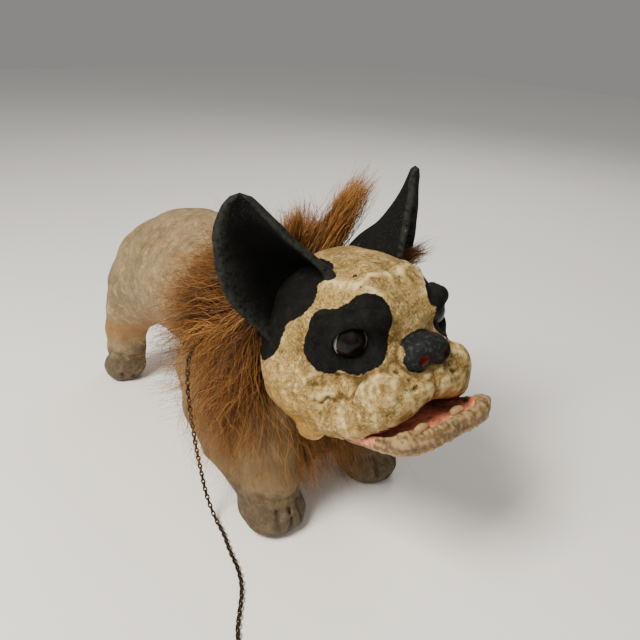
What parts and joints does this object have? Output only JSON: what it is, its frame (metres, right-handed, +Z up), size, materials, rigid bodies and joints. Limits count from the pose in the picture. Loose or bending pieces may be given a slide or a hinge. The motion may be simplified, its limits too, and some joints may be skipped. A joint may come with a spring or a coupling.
{
  "type": "growler bulldog pull toy",
  "caption": "Papier-mache bulldog with a balanced nodding head, a hinged lower jaw, a fibre ruff, a bellows growler inside, hidden foot rollers and a pull chain.",
  "frame": {"origin": "on the floor, under the middle of the object without its pull chain", "axes": "+Z up, the dog faces -Y, its right side is -X"},
  "size_m": [0.329, 0.4945, 0.3122],
  "materials": {
    "papier_mache": "matte",
    "ear_black": "matte",
    "eye_glass": "gloss",
    "eye_paint": "gloss",
    "fibre": "matte",
    "leather": "matte",
    "wood": "matte",
    "steel": "satin",
    "brass": "satin",
    "iron": "matte",
    "chain_steel": "satin",
    "cord_fibre": "matte",
    "jaw_paper": "matte",
    "tooth": "satin"
  },
  "bodies": {
    "body": {"body_shell_left": "papier_mache", "body_shell_right": "papier_mache", "chain_coil": "chain_steel", "chain_eyelet": "brass", "chain_guide_eye": "brass", "chain_ring": "chain_steel", "collar_tacks": "brass", "foot_plug_front_left": "wood", "foot_plug_front_right": "wood", "foot_plug_hind_left": "wood", "foot_plug_hind_right": "wood", "growler_base_board": "wood", "growler_board_pin": "steel", "growler_leather": "leather", "growler_spring": "steel", "inner_chain": "chain_steel", "jaw_cord": "cord_fibre", "neck_ring": "wood", "nod_pin": "steel", "pull_chain": "chain_steel", "reed_block": "wood", "reed_tongue": "brass", "roller_axles": "steel", "ruff_band": "leather", "ruff_hair": "fibre"},
    "head": {"face_shell": "papier_mache", "skull_shell": "papier_mache", "ear_right": "ear_black", "ear_left": "ear_black", "eye_glass_right": "eye_glass", "eye_glass_left": "eye_glass", "eye_backing_right": "eye_paint", "eye_backing_left": "eye_paint", "jaw_pin": "steel", "neck_tube": "ear_black", "weight_arm": "steel", "nod_weight": "iron"},
    "jaw": {"lower_jaw": "jaw_paper", "lower_teeth": "tooth", "jaw_tail": "steel"},
    "growler_board": {"growler_moving_board": "wood"},
    "roller_front_right": {"roller_front_right": "wood"},
    "roller_front_left": {"roller_front_left": "wood"},
    "roller_hind_right": {"roller_hind_right": "wood"},
    "roller_hind_left": {"roller_hind_left": "wood"}
  },
  "joints": [
    {"name": "head_nod", "type": "hinge", "parent": "body", "child": "head", "pos_m": [0, -0.048, 0.175], "axis": [1, 0, 0], "range_deg": [-8, 10]},
    {"name": "chain_pull", "type": "hinge", "parent": "body", "child": "growler_board", "pos_m": [0, 0.162, 0.119], "axis": [1, 0, 0], "range_deg": [0, 16], "stiffness_Nm_per_rad": 2, "springref_deg": -11.46, "deforming": ["growler_leather", "growler_spring", "inner_chain"]},
    {"name": "jaw_open", "type": "hinge", "parent": "head", "child": "jaw", "pos_m": [0, -0.14, 0.13], "axis": [1, 0, 0], "range_deg": [0, 16], "deforming": ["jaw_cord"]},
    {"name": "roll_front_right", "type": "hinge", "parent": "body", "child": "roller_front_right", "pos_m": [-0.06, -0.099, 0.008], "axis": [1, 0, 0], "continuous": true},
    {"name": "roll_front_left", "type": "hinge", "parent": "body", "child": "roller_front_left", "pos_m": [0.06, -0.099, 0.008], "axis": [1, 0, 0], "continuous": true},
    {"name": "roll_hind_right", "type": "hinge", "parent": "body", "child": "roller_hind_right", "pos_m": [-0.056, 0.217, 0.008], "axis": [1, 0, 0], "continuous": true},
    {"name": "roll_hind_left", "type": "hinge", "parent": "body", "child": "roller_hind_left", "pos_m": [0.056, 0.217, 0.008], "axis": [1, 0, 0], "continuous": true}
  ],
  "couplings": [
    {"joint": "jaw_open", "follows": "chain_pull", "ratio": 1}
  ]
}
